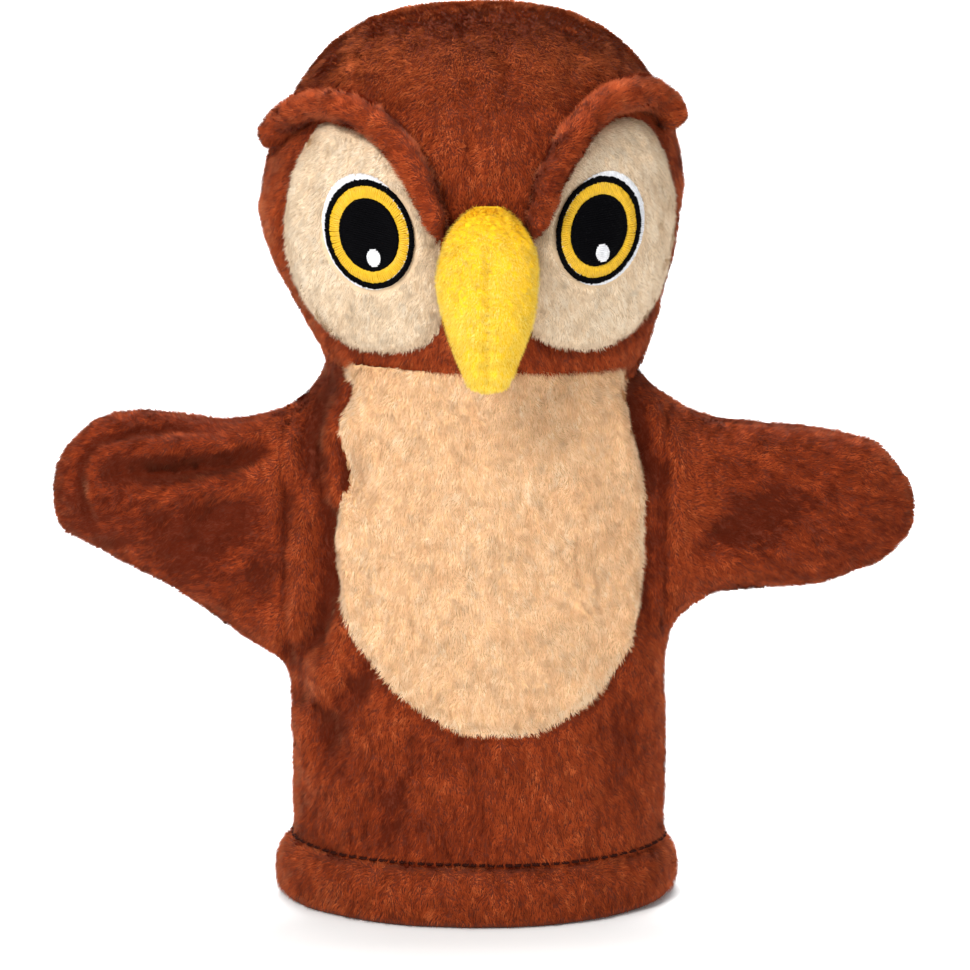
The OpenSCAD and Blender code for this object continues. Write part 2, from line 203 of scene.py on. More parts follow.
def add(name, v, f, mats, body=None, nrm=None, index=None):
    """Makes a mesh object from mm points and faces, and hangs it on a CAD body."""
    me = bpy.data.meshes.new(name)
    v, k = stood(v), f.shape[1]
    me.vertices.add(len(v))
    me.vertices.foreach_set("co", (v * MM).astype(np.float32).ravel())
    me.loops.add(f.size)
    me.loops.foreach_set("vertex_index", f.astype(np.int32).ravel())
    me.polygons.add(len(f))
    me.polygons.foreach_set("loop_start", np.arange(0, f.size, k, dtype=np.int32))
    for m in mats:
        me.materials.append(m)
    if index is not None:
        me.polygons.foreach_set("material_index", index.astype(np.int32))
    me.update(calc_edges=True)
    me.polygons.foreach_set("use_smooth", np.full(len(f), True))
    if nrm is not None:
        me.normals_split_custom_set_from_vertices(nrm.astype(np.float32))
    o = bpy.data.objects.new(name, me)
    bpy.context.scene.collection.objects.link(o)
    if body:
        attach(o, body)
    return o

def part_of(v, f, keep):
    """The faces where keep is true, with only their own points, and those points' old numbers."""
    f = f[keep]
    used, g = np.unique(f, return_inverse=True)
    return v[used], g.reshape(f.shape), used

# -------------------- materials
SHEEN_ROUGH = 0.45
def cloth(name, rgb, rough=0.95, sheen=0.35, tint=None, spec=0.2):
    """A plain material of one tone, for fibres and as the start of a woven one."""
    m = bpy.data.materials.new(name)
    m.use_nodes = True
    b = m.node_tree.nodes["Principled BSDF"]
    b.inputs["Base Color"].default_value = (*rgb, 1)
    b.inputs["Roughness"].default_value = rough
    b.inputs["Specular IOR Level"].default_value = spec
    b.inputs["Sheen Weight"].default_value = sheen
    b.inputs["Sheen Roughness"].default_value = SHEEN_ROUGH
    b.inputs["Sheen Tint"].default_value = (*(tint or rgb), 1)
    return m

DARKER, PALER = 0.7, 1.25  # a woven cloth's colours, as shares of its own
def textured(m, size, wave, deep, rgb):
    """Gives a cloth or thread a mottled colour, in patches size wide, and woven ribs wave apart and deep high,
    from nodes; in mm."""
    t = m.node_tree
    b = t.nodes["Principled BSDF"]
    kinds = ("TexCoord", "TexNoise", "Mix", "TexWave", "Bump")
    at, patchy, mix, rib, bump = (t.nodes.new("ShaderNode" + k) for k in kinds)
    patchy.inputs["Scale"].default_value, patchy.inputs["Detail"].default_value = 1000 / size, 3
    mix.data_type = "RGBA"
    mix.inputs[6].default_value = (*[DARKER * c for c in rgb], 1)
    mix.inputs[7].default_value = (*[min(PALER * c, 1) for c in rgb], 1)
    rib.bands_direction, rib.inputs["Scale"].default_value = "DIAGONAL", 1000 / wave / 6.28
    rib.inputs["Distortion"].default_value, rib.inputs["Detail"].default_value = 1.5, 1
    bump.inputs["Distance"].default_value, bump.inputs["Strength"].default_value = deep * MM, 0.8
    place_at = at.outputs["Object"]
    for a, c in ((place_at, patchy.inputs["Vector"]), (place_at, rib.inputs["Vector"]),
                 (patchy.outputs["Fac"], mix.inputs[0]), (mix.outputs[2], b.inputs["Base Color"]),
                 (rib.outputs["Fac"], bump.inputs["Height"]), (bump.outputs["Normal"], b.inputs["Normal"])):
        t.links.new(a, c)
    return m

def tones(name, colours, **k):
    """A pile's materials from its darkest fibre to its palest."""
    return [cloth(f"{name}_{i}", c, **k) for i, c in enumerate(colours)]

BROWN_TINT = (0.95, 0.42, 0.22)
BROWN = tones("brown_pile",
              [(0.11, 0.014, 0.004), (0.22, 0.031, 0.008), (0.34, 0.053, 0.013), (0.5, 0.1, 0.028)],
              tint=BROWN_TINT, sheen=0.16, spec=0.06)
BEIGE = tones("beige_pile", [(0.66, 0.36, 0.17), (0.82, 0.5, 0.27), (0.9, 0.59, 0.34), (0.95, 0.7, 0.45)],
              tint=(1, 0.86, 0.66), sheen=0.1, spec=0.1)
CREAM = tones("cream_pile", [(0.55, 0.39, 0.25), (0.72, 0.54, 0.36), (0.84, 0.66, 0.46), (0.92, 0.77, 0.58)],
              tint=(1, 0.9, 0.75), sheen=0.1, spec=0.1)
YELLOW = tones("yellow_pile", [(0.85, 0.42, 0.02), (0.93, 0.57, 0.045), (0.97, 0.69, 0.09), (1.0, 0.8, 0.2)],
               tint=(1, 0.8, 0.25), sheen=0.1, spec=0.1)
def woven(name, rgb, size, wave, deep, **k):
    """A cloth or thread with its pattern."""
    return textured(cloth(name, rgb, **k), size, wave, deep, rgb)

# the cloths under the pile are a darker tone than their fibres: painted shade between the fibres, laid over the
# backing's own colour
BROWN_CLOTH = woven("brown_cloth", (0.12, 0.02, 0.007), 7, 1.1, 0.2, tint=BROWN_TINT, sheen=0.1)
BEIGE_CLOTH = woven("beige_cloth", (0.66, 0.4, 0.2), 7, 1.1, 0.2, sheen=0.1)
CREAM_CLOTH = woven("cream_cloth", (0.62, 0.46, 0.3), 7, 1.1, 0.2, sheen=0.1)
YELLOW_CLOTH = woven("yellow_cloth", (0.86, 0.5, 0.01), 7, 1.1, 0.2, sheen=0.1)
LINING = woven("knit_backing", (0.2, 0.05, 0.02), 6, 1.1, 0.25, sheen=0.1)
DARK_THREAD = woven("dark_thread", (0.024, 0.005, 0.003), 1.3, 0.6, 0.1, rough=0.8, sheen=0, spec=0.05)
WHITE_THREAD = woven("white_thread", (0.66, 0.67, 0.7), 1.3, 0.6, 0.08, rough=0.42, sheen=0, spec=0.4)
BLACK_THREAD = woven("black_thread", (0.0012, 0.0012, 0.0018), 1.3, 0.6, 0.1, rough=0.6, sheen=0, spec=0.03)
YELLOW_THREAD = woven("yellow_thread", (0.64, 0.385, 0.012), 1.3, 0.6, 0.12, rough=0.42, sheen=0, spec=0.3)

# -------------------- pile: short fibres laid over a cloth
DENSE, LENGTH = 9.5, 1.6  # the brown plush: fibres on a square mm, and mm long
QUICK_SHARE, QUICK_WIDER = 0.35, 1.6
ROOT = 0.25  # how far a fibre starts under the cloth, in mm
BACK_GAP = 0.03  # from a fibre's front to its back, in mm
def pile(name, v, f, n, mats, per_mm2, length, nap, width=0.28, lean=58, tone=None, mask=None, clump=1.0,
         twice=None):
    """Fibres on the faces f. nap(points) gives the way they lie and mask(points) the share kept. tone is how pale
    they are at each point of the cloth, and carries the painted light and shade laid on the pile. Where
    twice(points) is true each has a back too, to be seen from behind. The numbers in tufts and tones are mm,
    shares and noise's seeds."""
    if not FINE:
        per_mm2, width = per_mm2 * QUICK_SHARE, width * QUICK_WIDER
    tri = np.vstack([f[:, :3], f[:, [0, 2, 3]]]) if f.shape[1] == 4 else f
    a, b, c = v[tri[:, 0]], v[tri[:, 1]], v[tri[:, 2]]
    area = np.linalg.norm(np.cross(b - a, c - a), axis=1) / 2
    count = int(area.sum() * per_mm2)
    if count < 1:
        return None
    rng = np.random.default_rng(len(name) * 131 + count)
    pick = np.searchsorted(np.cumsum(area), rng.random(count) * area.sum()).clip(0, len(tri) - 1)
    r1, r2 = np.sqrt(rng.random(count)), rng.random(count)
    wa, wb, wc = (1 - r1)[:, None], (r1 * (1 - r2))[:, None], (r1 * r2)[:, None]
    t = tri[pick]
    p = wa * v[t[:, 0]] + wb * v[t[:, 1]] + wc * v[t[:, 2]]
    m = wa * n[t[:, 0]] + wb * n[t[:, 1]] + wc * n[t[:, 2]]
    if mask is not None:
        keep = rng.random(count) < mask(p)
        p, m, count = p[keep], m[keep], int(keep.sum())
        t, wa, wb, wc = t[keep], wa[keep], wb[keep], wc[keep]
    if count < 1:
        return None
    m /= np.maximum(np.linalg.norm(m, axis=1, keepdims=True), 1e-9)
    way = nap(p)
    tuft = np.stack([noise(p, 1.9, s) for s in (14, 15, 16)], 1)
    d = way + clump * 0.6 * np.stack([noise(p, 5.5, s) for s in (11, 12, 13)], 1)
    d += clump * 0.6 * tuft + rng.normal(0, 0.2, (count, 3))
    d -= (d * m).sum(1, keepdims=True) * m
    d /= np.maximum(np.linalg.norm(d, axis=1, keepdims=True), 1e-6)
    ang = np.radians(lean + rng.normal(0, 9, count) + 10 * noise(p, 3.1, 17))[:, None]
    up = d * np.sin(ang) + m * np.cos(ang)
    side = np.cross(m, up)
    side /= np.maximum(np.linalg.norm(side, axis=1, keepdims=True), 1e-9)
    ln = (length * (0.75 + 0.5 * rng.random(count)) * (1 + 0.2 * noise(p, 2.6, 18)))[:, None]
    w = width * (0.8 + 0.4 * rng.random(count))[:, None] / 2
    root = p - m * ROOT
    pts = np.stack([root + side * w, root - side * w, p + up * ln], 1).reshape(-1, 3)
    tri_f = np.arange(3 * count).reshape(-1, 3)
    nn = m + 0.3 * up + 0.45 * clump * tuft + rng.normal(0, 0.12, (count, 3))
    nn /= np.linalg.norm(nn, axis=1, keepdims=True)
    way = way / np.maximum(np.linalg.norm(way, axis=1, keepdims=True), 1e-6)
    q = p - 0.55 * (p * way).sum(1, keepdims=True) * way
    shade = tone[:, None] if tone is not None else np.zeros((len(v), 1))
    shade = (wa * shade[t[:, 0]] + wb * shade[t[:, 1]] + wc * shade[t[:, 2]])[:, 0]
    shade += 1.5 + clump * (0.95 * noise(q, 0.9, 20) + 0.6 * noise(q, 2.1, 19) + 0.3 * noise(p, 15, 21))
    idx = np.clip(np.round(shade + rng.normal(0, 0.3, count)), 0, len(mats) - 1)
    if twice is not None:
        k = twice(p)
        off = np.cross(side, up)[k] * BACK_GAP
        pts = np.concatenate([pts, (pts.reshape(-1, 3, 3)[k][:, [1, 0, 2]] + off[:, None]).reshape(-1, 3)])
        nn, idx = np.concatenate([nn, nn[k]]), np.concatenate([idx, idx[k]])
        tri_f = np.arange(len(pts)).reshape(-1, 3)
    return add(name, pts, tri_f, mats, nrm=np.repeat(nn, 3, 0), index=idx)

# -------------------- glove body and wings, one skin
# the body's height, half width and half depth
BODY = [(4, 51.4, 34.5), (12, 51.9, 34.5), (24, 51.9, 33), (45, 51.9, 31.5), (70, 52, 31), (98, 51.2, 30.5),
        (118, 50.6, 29.8), (130, 49.4, 29.4), (137, 46.5, 29.4), (143, 42.6, 29.6), (149, 40.4, 29.6)]
# each wing's way out from the middle, its top, its bottom and its half depth there
WING_R = [(40, 143, 58, 14), (46, 141, 58, 14), (50, 138.4, 58.6, 14), (54, 135.6, 60.4, 14),
          (58, 133.8, 63.3, 14), (65, 131.8, 68.6, 13.5), (73, 131.2, 74.2, 13), (81, 132.2, 80, 12.5),
          (93, 134, 87, 12), (100, 133.6, 91, 11.4), (106, 132.2, 94.2, 10.5), (112, 127.4, 97.6, 8.6),
          (116.5, 122, 101.4, 6), (118.2, 117.5, 105.6, 3.6)]
WING_L = [(40, 145, 58, 14), (45, 143.4, 61, 14), (49, 140, 66, 14), (54, 136, 74.4, 14),
          (59.5, 133.6, 79.4, 13.6), (66, 131.4, 81.6, 13.2), (73, 130.5, 82.5, 12.8), (80, 129.7, 83, 12.5),
          (88, 128.8, 83.8, 12.2), (95.4, 127.6, 85, 11.6), (102, 126.2, 87.4, 10.8), (108, 124.2, 90, 9.4),
          (113.6, 118.4, 94, 7), (116.5, 114.6, 97.2, 4.8), (118, 111, 101, 3)]
SKIN_VOXEL = 1.25

def closed(p):
    """A closed solid from rings of points: both ends are drawn in to a point."""
    v, f = sheet_of(p, ring=True)
    n, m = p.shape[:2]
    v = np.vstack([v, p[0].mean(0), p[-1].mean(0)])
    j = np.arange(m)
    e = (j + 1) % m
    f = [tuple(x) for x in f] + [(b, a, n * m) for a, b in zip(j, e)]
    f += [(n * m - m + a, n * m - m + b, n * m + 1) for a, b in zip(j, e)]
    return v, f

def wing_rings(t, side):
    """Rings of points along a wing; side is -1 for the right and 1 for the left."""
    s = np.linspace(t[0][0], t[-1][0], 60)
    a = circle(48)
    top, bot, ry = (table(t, s, c) for c in (1, 2, 3))
    c, q = np.cos(a), np.sin(a)
    lens = np.abs(q) ** 1.25 * np.sign(q)
    z = ((top + bot) / 2)[:, None] + side * ((top - bot) / 2)[:, None] * c
    y = BY - ry[:, None] * lens - smooth(s, 60, 118)[:, None] * (1.5 if side < 0 else 0.5)
    return np.stack([np.broadcast_to(side * s[:, None], z.shape), y, z], -1)

def body_rings():
    z = np.linspace(BODY[0][0], BODY[-1][0], 60)
    a = circle(96)
    rx, ry = table(BODY, z, 1)[:, None], table(BODY, z, 2)[:, None]
    x = BX + rx * np.sin(a)
    return np.stack([x, BY - ry * np.cos(a), np.broadcast_to(z[:, None], x.shape)], -1)

def remeshed(solids, voxel):
    """One skin of quads round all the solids."""
    me = bpy.data.meshes.new("raw")
    vs, fs, k = [], [], 0
    for v, f in solids:
        vs.append(v)
        fs += [tuple(int(i) + k for i in q) for q in f]
        k += len(v)
    me.from_pydata([tuple(x) for x in np.vstack(vs) * MM], [], fs)
    o = bpy.data.objects.new("raw", me)
    bpy.context.scene.collection.objects.link(o)
    r = o.modifiers.new("r", "REMESH")
    r.mode, r.voxel_size = "VOXEL", voxel * MM
    e = o.evaluated_get(bpy.context.evaluated_depsgraph_get()).to_mesh()
    v = np.empty(len(e.vertices) * 3, np.float32)
    e.vertices.foreach_get("co", v)
    f = np.empty(len(e.polygons) * 4, np.int32)
    assert len(e.loops) == len(f), "remesh gave other than quads"
    e.loops.foreach_get("vertex_index", f)
    bpy.data.objects.remove(o)
    return v.reshape(-1, 3).astype(float) * 1000, f.reshape(-1, 4)

skin, quads = remeshed([closed(body_rings()), closed(wing_rings(WING_R, -1)), closed(wing_rings(WING_L, 1))],
                       SKIN_VOXEL)
ax = np.abs(skin[:, 0])
SHOULDER = 50  # from the middle to where a wing meets the body
junction = (np.exp(-(((ax - SHOULDER) / 9) ** 2)) * smooth(skin[:, 2], 45, 60)
            * (1 - smooth(skin[:, 2], 140, 146)))
skin = relax(skin, quads, 6, 0.5)
skin = relax(skin, quads, 60 if FINE else 40, 0.55 * junction)
nrm = normals(skin, quads)
front = smooth(-(skin[:, 1] - BY), 1, 9)
xz = skin[:, [0, 2]]

# the belly patch's outline, x and z
BELLY = rounded([(-32, 152), (-35.6, 141), (-38.8, 131), (-38.2, 121), (-37.4, 115), (-40.1, 107),
                 (-41.4, 96.5), (-39, 84.6), (-33.2, 71), (-22, 59), (-7.5, 50.2), (5, 49.2), (16.5, 50.6),
                 (30.4, 58.5), (39.4, 71), (43, 84.6), (43.8, 97), (43.6, 110), (42.4, 124), (39, 138), (34, 152)])
belly_d = np.where(skin[:, 1] < BY, inside(xz, BELLY), 99.0)

# folds in the front: the line, x and z, then how deep and how wide; the cloth swells beside each
FOLDS = [([(-43.5, 142), (-46.5, 126), (-42.6, 106), (-44.5, 90)], 3.4, 3.0),
         ([(-50.5, 137), (-50, 120), (-52, 104)], 2.2, 2.8),
         ([(-54, 66), (-46, 73), (-41.5, 88), (-41, 96)], 3.4, 3.2),
         ([(-52, 62), (-45, 50), (-40, 40)], 2.0, 4.0),
         ([(-46, 40), (-38, 58), (-31, 66)], 2.0, 3.2),
         ([(40.5, 142), (42.5, 130), (46.5, 116)], 3.2, 2.8),
         ([(46.6, 128), (47.4, 108), (45.5, 84), (43, 70)], 1.6, 2.4),
         ([(-39.5, 124), (-33, 115)], 3.6, 4.0),
         ([(-30, 64), (-36, 50), (-34, 34)], 1.4, 5),
         ([(-20, 44), (-26, 30), (-24, 20)], 0.9, 5),
         ([(34, 58), (38, 44), (36, 28)], 1.1, 6),
         ([(-100, 117.6), (-84, 118.2), (-70, 120), (-59, 123.6)], 5.0, 3.0),
         ([(-58, 110), (-70, 104), (-80, 96)], 1.6, 6),
         ([(-56, 100), (-62, 88), (-60, 78)], 1.6, 4.5),
         ([(58, 112), (76, 110), (92, 112)], 1.4, 7),
         ([(55, 94), (64, 100), (74, 101)], 1.9, 5)]
dent = np.zeros(len(skin))
for line, deep, wide in FOLDS:
    r, t = line_dist(xz, line)
    ends = np.sin(math.pi * np.clip(t, 0.04, 0.96)) ** 0.5
    dent += ends * front * (
        -deep * np.exp(-((r / wide) ** 2)) + 0.5 * deep * np.exp(-(((r - 2.1 * wide) / wide) ** 2)))
BACK_FOLDS = [([(-44, 130), (-40, 105), (-44, 80)], 1.6, 5), ([(42, 128), (38, 100), (43, 76)], 1.6, 5),
              ([(-20, 138), (-8, 120), (2, 104)], 1.1, 6), ([(26, 60), (12, 40), (14, 22)], 1.0, 7),
              ([(-60, 108), (-84, 106)], 1.3, 6), ([(60, 108), (84, 104)], 1.3, 6)]
back = smooth(skin[:, 1] - BY, 1, 9)
for line, deep, wide in BACK_FOLDS:
    r, t = line_dist(xz, line)
    dent += back * np.sin(math.pi * np.clip(t, 0.04, 0.96)) ** 0.5 * (
        -deep * np.exp(-((r / wide) ** 2)) + 0.4 * deep * np.exp(-(((r - 2.1 * wide) / wide) ** 2)))
# the armhole seams, the seams round the wings, and the seam round the belly patch
for x0, z0, z1 in ((-54.2, 62, 133), (49.6, 72, 135)):
    on = smooth(skin[:, 2], z0, z0 + 5) * (1 - smooth(skin[:, 2], z1 - 3, z1 + 2))
    dent -= 1.9 * on * np.exp(-(((skin[:, 0] - x0) / 1.1) ** 2))
rim = np.exp(-(((skin[:, 1] - BY + 1.2) / 1.4) ** 2)) * smooth(ax, 58, 64)
dent -= 1.0 * rim
RIGHT_WING_SEAM = [(-107, 103), (-109.5, 112), (-108.5, 121), (-104, 126.4), (-95, 128.6), (-83, 128.8),
                   (-70, 127)]
r = line_dist(xz, RIGHT_WING_SEAM)[0]
dent -= 1.9 * front * np.exp(-((r / 1.4) ** 2))
dent += 0.7 * front * np.exp(-(((r - 3.2) / 2.2) ** 2)) * (skin[:, 0] < -50)
belly_swell = 0.9 * (1 - smooth(belly_d, -6, -0.5)) - 1.3 * np.exp(-((belly_d / 1.5) ** 2))
dent += np.where(belly_d < 90, belly_swell, 0)
side_seam = np.exp(-(((skin[:, 1] - BY) / 1.3) ** 2)) * (1 - smooth(skin[:, 2], 60, 70)) * smooth(ax, 30, 40)
dent -= 0.9 * side_seam
dent += 0.9 * noise(skin, 21, 3) + 0.4 * noise(skin, 8, 4)
# painted light and shade in the pile's tone: painted shade in the creases and seams and a painted highlight on the
# swells, painted shade over the wings, painted shadows beside the neck, and a painted highlight round the belly
# patch's edge, which is palest there
WING_SHADE_R, WING_SHADE_L = 0.95, 0.65
tone = (np.where(dent < 0, 1.0, 0.4) * np.clip(dent, -3, 1.2)
        - np.where(skin[:, 0] < 0, WING_SHADE_R, WING_SHADE_L) * smooth(ax, 55, 72))
# painted shadows beside the neck, on each side of the throat
for line, wide in (([(-38, 151), (-41, 144), (-43.5, 135)], 3.2), ([(38.5, 151), (41, 144)], 2.2)):
    tone -= 1.7 * front * np.exp(-((line_dist(xz, line)[0] / wide) ** 2))
# a painted highlight round the belly patch's edge: its pile is paler there
tone = np.where(belly_d < 0, 0.2 + 0.9 * smooth(belly_d, -5, -0.5), tone)
skin = skin + nrm * dent[:, None]
skin = relax(skin, quads, 2, 0.4)
nrm = normals(skin, quads)

mid = skin[quads].mean(1)
mid_n = nrm[quads].mean(1)
SKIN_LOW, SKIN_HIGH = 9, 146.2  # the skin ends inside the hem and inside the head
gone = (mid[:, 2] < SKIN_LOW) | ((mid[:, 2] > SKIN_HIGH) & (mid_n[:, 2] > 0.6))
is_belly = belly_d[quads].mean(1) < 0
# where the skin is cut: the roots' inner and outer ends, and the neck's lower end and middle
CUT1, CUT2, NECK, NECK_MID = 52.5, 63.0, BODY_TOP + 1, 141
ZONES = {"right_root_in": ["glove", "right_shoulder"], "right_wing_cloth": ["right_shoulder", "right_wing"],
         "left_root_in": ["glove", "left_shoulder"], "left_wing_cloth": ["left_shoulder", "left_wing"],
         "neck_low": ["glove", "neck"], "neck_top": ["neck", "head"], "glove_body": ["glove"]}
zone = np.full(len(mid), "glove_body", object)
high, mx = mid[:, 2], mid[:, 0]
zone[high > NECK] = "neck_low"
zone[high > NECK_MID] = "neck_top"
zone[(mx < -CUT1 - 0.5) & (high > 60)] = "right_root_in"
zone[mx < -CUT2] = "right_wing_cloth"
zone[(mx > CUT1 - 1) & (high > 68)] = "left_root_in"
zone[mx > CUT2] = "left_wing_cloth"
ENDS = {"right_root_in": ((-CUT1, 0, 100), (-CUT2, 0, 100)),
        "right_wing_cloth": ((-CUT2, 0, 100), (-76, 0, 100)),
        "left_root_in": ((CUT1 - 1, 0, 100), (CUT2, 0, 100)),
        "left_wing_cloth": ((CUT2, 0, 100), (76, 0, 100)),
        "neck_low": ((0, 0, NECK), (0, 0, NECK_MID)), "neck_top": ((0, 0, NECK_MID), (0, 0, 148))}

def place(o, where):
    """Hangs a piece of the skin on its body; a piece that lies between two bodies only has its place baked into
    its points.
    """
    if o is None:
        return
    if len(ZONES[where]) == 1:
        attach(o, ZONES[where][0])
    else:
        a, b = (stood(p) for p in ENDS[where])
        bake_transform(o)

def glove_nap(p):
    """The glove's pile lies downward, and outward along the wings."""
    out = np.zeros_like(p)
    w = smooth(np.abs(p[:, 0]), 46, 66)
    out[:, 2] = -1 + 0.7 * w
    out[:, 0] = w * np.sign(p[:, 0]) * 0.9
    return out

LINING_GAP = 1.7
made, linings = {}, {}
ZONES["glove_back"] = ["glove"]
zone[(zone == "glove_body") & (mid[:, 1] > BY)] = "glove_back"
for where in ZONES:
    for colour in ("brown", "beige"):
        keep = (zone == where) & ~gone & (is_belly == (colour == "beige"))
        if keep.sum() < 4:
            continue
        v, f, used = part_of(skin, quads, keep)
        n = nrm[used]
        beige_name = where.replace("glove_body", "belly").replace("neck_", "throat_")
        name = where if colour == "brown" else beige_name
        o = add(name, v, f, [BROWN_CLOTH if colour == "brown" else BEIGE_CLOTH], nrm=n)
        place(o, where)
        h = pile(name + "_pile", v, f, n, BROWN if colour == "brown" else BEIGE, DENSE, LENGTH, glove_nap,
                 tone=tone[used])
        place(h, where)
        made[name] = (o, h)
    keep = (zone == where) & ~gone
    v, f, used = part_of(skin - nrm * LINING_GAP, quads[:, ::-1], keep)
    linings[where] = add(where + "_lining", v, f, [LINING], nrm=-nrm[used])
    place(linings[where], where)

# -------------------- hem band and its stitches
HEM_RX, HEM_RY, HEM_COLS, HEM_MIDDLE = 51.8, 35.2, 420, 8
def ring_sections(section, cols, wobble):
    """A band round the glove: section is (out from the hem's line, z) all the way round."""
    a = circle(cols)
    rows = []
    for d, z in section:
        x, y = BX - 1 + (HEM_RX + d) * np.sin(a), BY - (HEM_RY + d) * np.cos(a)
        p = np.stack([x, y, np.full(cols, float(z))], 1)
        out = np.stack([np.sin(a), -np.cos(a), 0 * a], 1)
        p += out * (wobble * noise(p * [1, 1, 0.2], 17, 31) * 1.2 + wobble * 0.5 * noise(p, 6, 32))[:, None]
        rows.append(p)
    return np.array(rows)

def downward(p):
    return np.tile([0, 0, -1.0], (len(p), 1))

prof = rounded([(-2.6, 1), (-1.2, 0), (1.4, 0), (2.9, 1.4), (3.7, 4), (3.9, 7.5), (3.4, 10.8), (2.2, 13.4),
                (0.8, 15.1), (-0.9, 15.7), (-2.6, 15.2), (-3.2, 12), (-3.2, 5)], 4)
grid = ring_sections(prof, HEM_COLS, 0.7)
grid[..., 2] = np.where(grid[..., 2] < 0.02, 0, grid[..., 2])
m = len(prof)
v, f = sheet_of(np.concatenate([grid, grid[:1]]), ring=True)
f = np.where(f >= m * HEM_COLS, f - m * HEM_COLS, f)
v = v[: m * HEM_COLS]
f, n = outward(v, f, normals(v, f), [BX, BY, HEM_MIDDLE])
hem = add("hem_fold", v, f, [BROWN_CLOTH], "glove", nrm=n)
hem_pile = pile("hem_fold_pile", v, f, n, BROWN, 9, LENGTH, downward, tone=np.full(len(v), 0.3),
                mask=lambda p: smooth(p[:, 2], 1.4, 3.4))
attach(hem_pile, "glove")

def threads(name, ends, width, mat, body, lift=0.35, sink=0.12):
    """Stitches as small raised ribs. ends is a list of (points (k, 3), normals (k, 3))."""
    vs, fs, k = [], [], 0
    for p, n in ends:
        p, n = np.asarray(p, float), np.asarray(n, float)
        t = np.gradient(p, axis=0)
        s = np.cross(t, n)
        s /= np.maximum(np.linalg.norm(s, axis=1, keepdims=True), 1e-9)
        u = np.linspace(0, 1, len(p))
        arch = (np.clip(np.sin(math.pi * u), 0, 1) ** 0.35)[:, None]
        rows = [p - s * width / 2 - n * sink, p - s * width * 0.28 + n * lift * 0.75 * arch,
                p + n * lift * arch, p + s * width * 0.28 + n * lift * 0.75 * arch, p + s * width / 2 - n * sink]
        g, q = sheet_of(np.stack(rows, 1))
        vs.append(g)
        fs.append(q[:, ::-1] + k)
        k += len(g)
    return add(name, np.vstack(vs), np.vstack(fs), [mat], body)

# the hem's stitches lie on the skin just over the fold
STITCH_Z, STITCHES, STITCH_TURN, PROUD = 16.6, 92, 0.056, 0.4
st = []
near = skin[np.abs(skin[:, 2] - STITCH_Z) < 0.9] - [BX, BY, 0]
turn, reach = np.arctan2(near[:, 0], -near[:, 1]), np.hypot(near[:, 0], near[:, 1])
order = np.argsort(turn)
for a0 in circle(STITCHES):
    b = a0 + np.linspace(0, STITCH_TURN, 5)
    far = np.interp(b, turn[order], reach[order], period=2 * math.pi) + PROUD
    p = np.stack([BX + far * np.sin(b), BY - far * np.cos(b), np.full(5, STITCH_Z)], 1)
    n = np.stack([np.sin(b), -np.cos(b), 0 * b], 1)
    st.append((p, n))
hem_seam = threads("hem_stitches", st, 0.8, DARK_THREAD, "glove", lift=1.0)

# -------------------- head
# the share of the head's height, half width, half depth and middle there
HEAD = [(0, 41.8, 30, 0.2), (0.03, 43.4, 31.6, 0.2), (0.08, 44.8, 34.4, 0), (0.13, 47, 37.2, -0.6),
        (0.19, 49.6, 39.8, -1.2), (0.25, 52, 41.6, -1.8), (0.31, 54.4, 43, -2.6), (0.37, 56, 44, -3.2),
        (0.45, 57.2, 44.6, -3.4), (0.53, 56.8, 44.6, -3), (0.6, 55.6, 43.8, -2.6), (0.67, 53.2, 42.2, -2.3),
        (0.74, 50, 39.6, -2), (0.8, 46.6, 36.8, -2), (0.86, 42, 33, -2.4), (0.91, 36.4, 28.6, -2.4),
        (0.95, 29.4, 22.8, -2.4), (0.98, 20.4, 15.8, -2.4), (0.995, 10.6, 8.4, -2.4), (1.0, 0.4, 0.4, -2.4)]
HTOP = HZ + 1.005 * HH

def head_row(t):
    t = np.asarray(t, float)
    return tuple(np.interp(t, [h[0] for h in HEAD], [h[c] for h in HEAD]) for c in (1, 2, 3))

def soft_rows(t):
    """head_row averaged over a short stretch, so that the shape has no kinks."""
    t = np.asarray(t, float)
    reach = 1 - smooth(t, 0.9, 0.985)
    parts = [head_row(np.clip(t + k * 0.012 * reach, 0, 1)) for k in (-1.5, -1, -0.5, 0, 0.5, 1, 1.5)]
    return tuple(np.mean([p[i] for p in parts], 0) for i in range(3))

def face_pt(x, z, d):
    """The point over the face at x and z, d out from the head's surface, and the way out there."""
    x, z = np.asarray(x, float), np.asarray(z, float)
    t = (z - HZ) / (HTOP - HZ)
    rx, ry, cx = soft_rows(t)
    q = np.clip((x - cx) / (rx + d), -0.985, 0.985)
    y = HY - (ry + d) * np.sqrt(1 - q * q)
    rx2, _, _ = soft_rows(t + 0.01)
    slope = (rx2 - rx) / (0.01 * (HTOP - HZ))
    c = np.sqrt(1 - q * q)
    n = np.stack([q / rx, -c / ry, -slope / np.maximum(rx, 1)], -1)
    n /= np.linalg.norm(n, axis=-1, keepdims=True)
    return np.stack([x, y, z], -1), n

# the eye patches' outlines, x and z
PATCH_R = rounded([(-36, 215), (-25.5, 209), (-18, 198), (-12.6, 186), (-10.6, 172), (-11.6, 161), (-16.5, 155),
                   (-26, 152.2), (-36, 153), (-44.5, 158), (-50.5, 167), (-53.6, 179), (-53.2, 192), (-50, 204),
                   (-44, 213)])
PATCH_L = rounded([(38, 215.4), (28, 212), (20, 203), (14.6, 191), (11.2, 178), (10.6, 166), (14, 157.4),
                   (22, 153.8), (32, 153.2), (41.5, 157.5), (48, 165.5), (51.6, 178), (52.2, 191), (49.6, 203),
                   (45, 212)])

